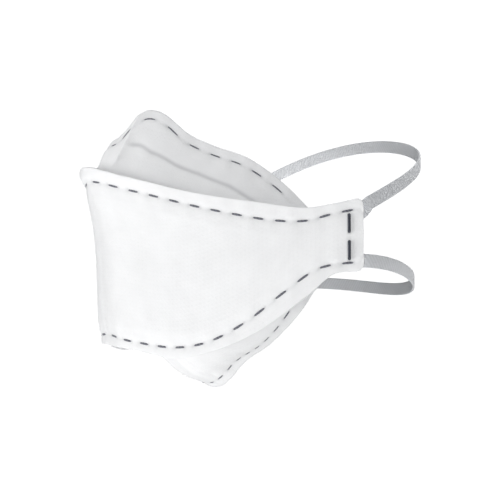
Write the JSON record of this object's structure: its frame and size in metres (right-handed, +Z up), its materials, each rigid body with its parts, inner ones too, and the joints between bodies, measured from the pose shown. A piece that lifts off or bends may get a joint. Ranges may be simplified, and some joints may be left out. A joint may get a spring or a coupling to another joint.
{
  "type": "disposable dust mask",
  "caption": "Folded white fabric dust mask with a shaped nose panel, chin panel, stitched seams and elastic head straps stapled to side tabs.",
  "frame": {"origin": "middle of the face opening, between the two side tabs", "axes": "+X to the side, +Y from the mask towards the wearer's face, +Z up"},
  "size_m": [0.147, 0.1358, 0.1059],
  "materials": {
    "cover_fabric": "white spunbonded nonwoven, matt",
    "filter_fabric": "soft melt-blown web, matt",
    "lining_fabric": "fine spunbonded nonwoven, matt",
    "clip_metal": "plain rolled strip",
    "cushion_foam": "open-cell foam",
    "thread": "dark grey sewing thread",
    "strap_elastic": "grey braided elastic",
    "staple_wire": "dark slate coated wire"
  },
  "bodies": {
    "centre_panel": {"centre_outer_cover": "cover_fabric", "centre_filter_layer": "filter_fabric", "centre_inner_lining": "lining_fabric", "upper_seam_stitching": "thread", "lower_seam_stitching": "thread", "upper_strap_ends": "strap_elastic", "lower_strap_ends": "strap_elastic", "upper_staples": "staple_wire", "lower_staples": "staple_wire"},
    "nose_panel": {"nose_outer_cover": "cover_fabric", "nose_filter_layer": "filter_fabric", "nose_inner_lining": "lining_fabric", "nose_clip": "clip_metal", "nose_foam_cushion": "cushion_foam", "nose_edge_stitching": "thread"},
    "chin_panel": {"chin_outer_cover": "cover_fabric", "chin_filter_layer": "filter_fabric", "chin_inner_lining": "lining_fabric", "chin_edge_stitching": "thread"},
    "upper_strap_body": {"upper_strap": "strap_elastic"},
    "lower_strap_body": {"lower_strap": "strap_elastic"}
  },
  "joints": [
    {"name": "nose_panel_fold", "type": "hinge", "parent": "centre_panel", "child": "nose_panel", "pos_m": [0, -0.017, 0.0125], "axis": [1, 0, 0], "range_deg": [-3, 4]},
    {"name": "chin_panel_fold", "type": "hinge", "parent": "centre_panel", "child": "chin_panel", "pos_m": [0, -0.019, -0.016], "axis": [1, 0, 0], "range_deg": [-8, 4]},
    {"name": "upper_strap_swing", "type": "hinge", "parent": "centre_panel", "child": "upper_strap_body", "pos_m": [0, -0.0048, 0.012], "axis": [1, 0, 0], "range_deg": [-20, 20]},
    {"name": "lower_strap_swing", "type": "hinge", "parent": "centre_panel", "child": "lower_strap_body", "pos_m": [0, -0.0048, -0.0066], "axis": [1, 0, 0], "range_deg": [-20, 15]}
  ]
}
